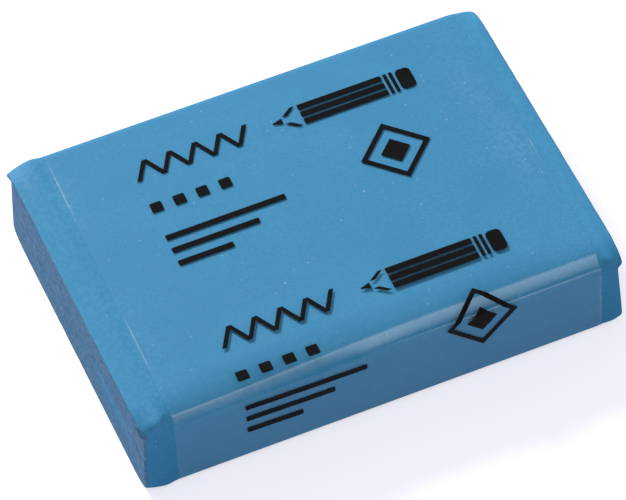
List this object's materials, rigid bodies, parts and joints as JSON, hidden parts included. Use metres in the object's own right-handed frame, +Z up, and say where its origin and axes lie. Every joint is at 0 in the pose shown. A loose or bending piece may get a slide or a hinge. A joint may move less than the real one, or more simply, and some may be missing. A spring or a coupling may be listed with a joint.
{
  "type": "kneaded eraser",
  "caption": "Soft rectangular kneadable putty eraser held in a clear printed film band that is open at both ends.",
  "frame": {"origin": "middle of the box that holds the eraser, on the surface it lies on", "axes": "+X along the block, +Y towards its back, +Z up, out of the printed top face"},
  "size_m": [0.042, 0.03, 0.0086],
  "materials": {
    "putty": "matte putty",
    "film": "clear glossy film",
    "ink": "printed ink"
  },
  "bodies": {
    "root": {"putty_block": "putty", "film_band": "film", "film_print": "ink"}
  },
  "joints": []
}
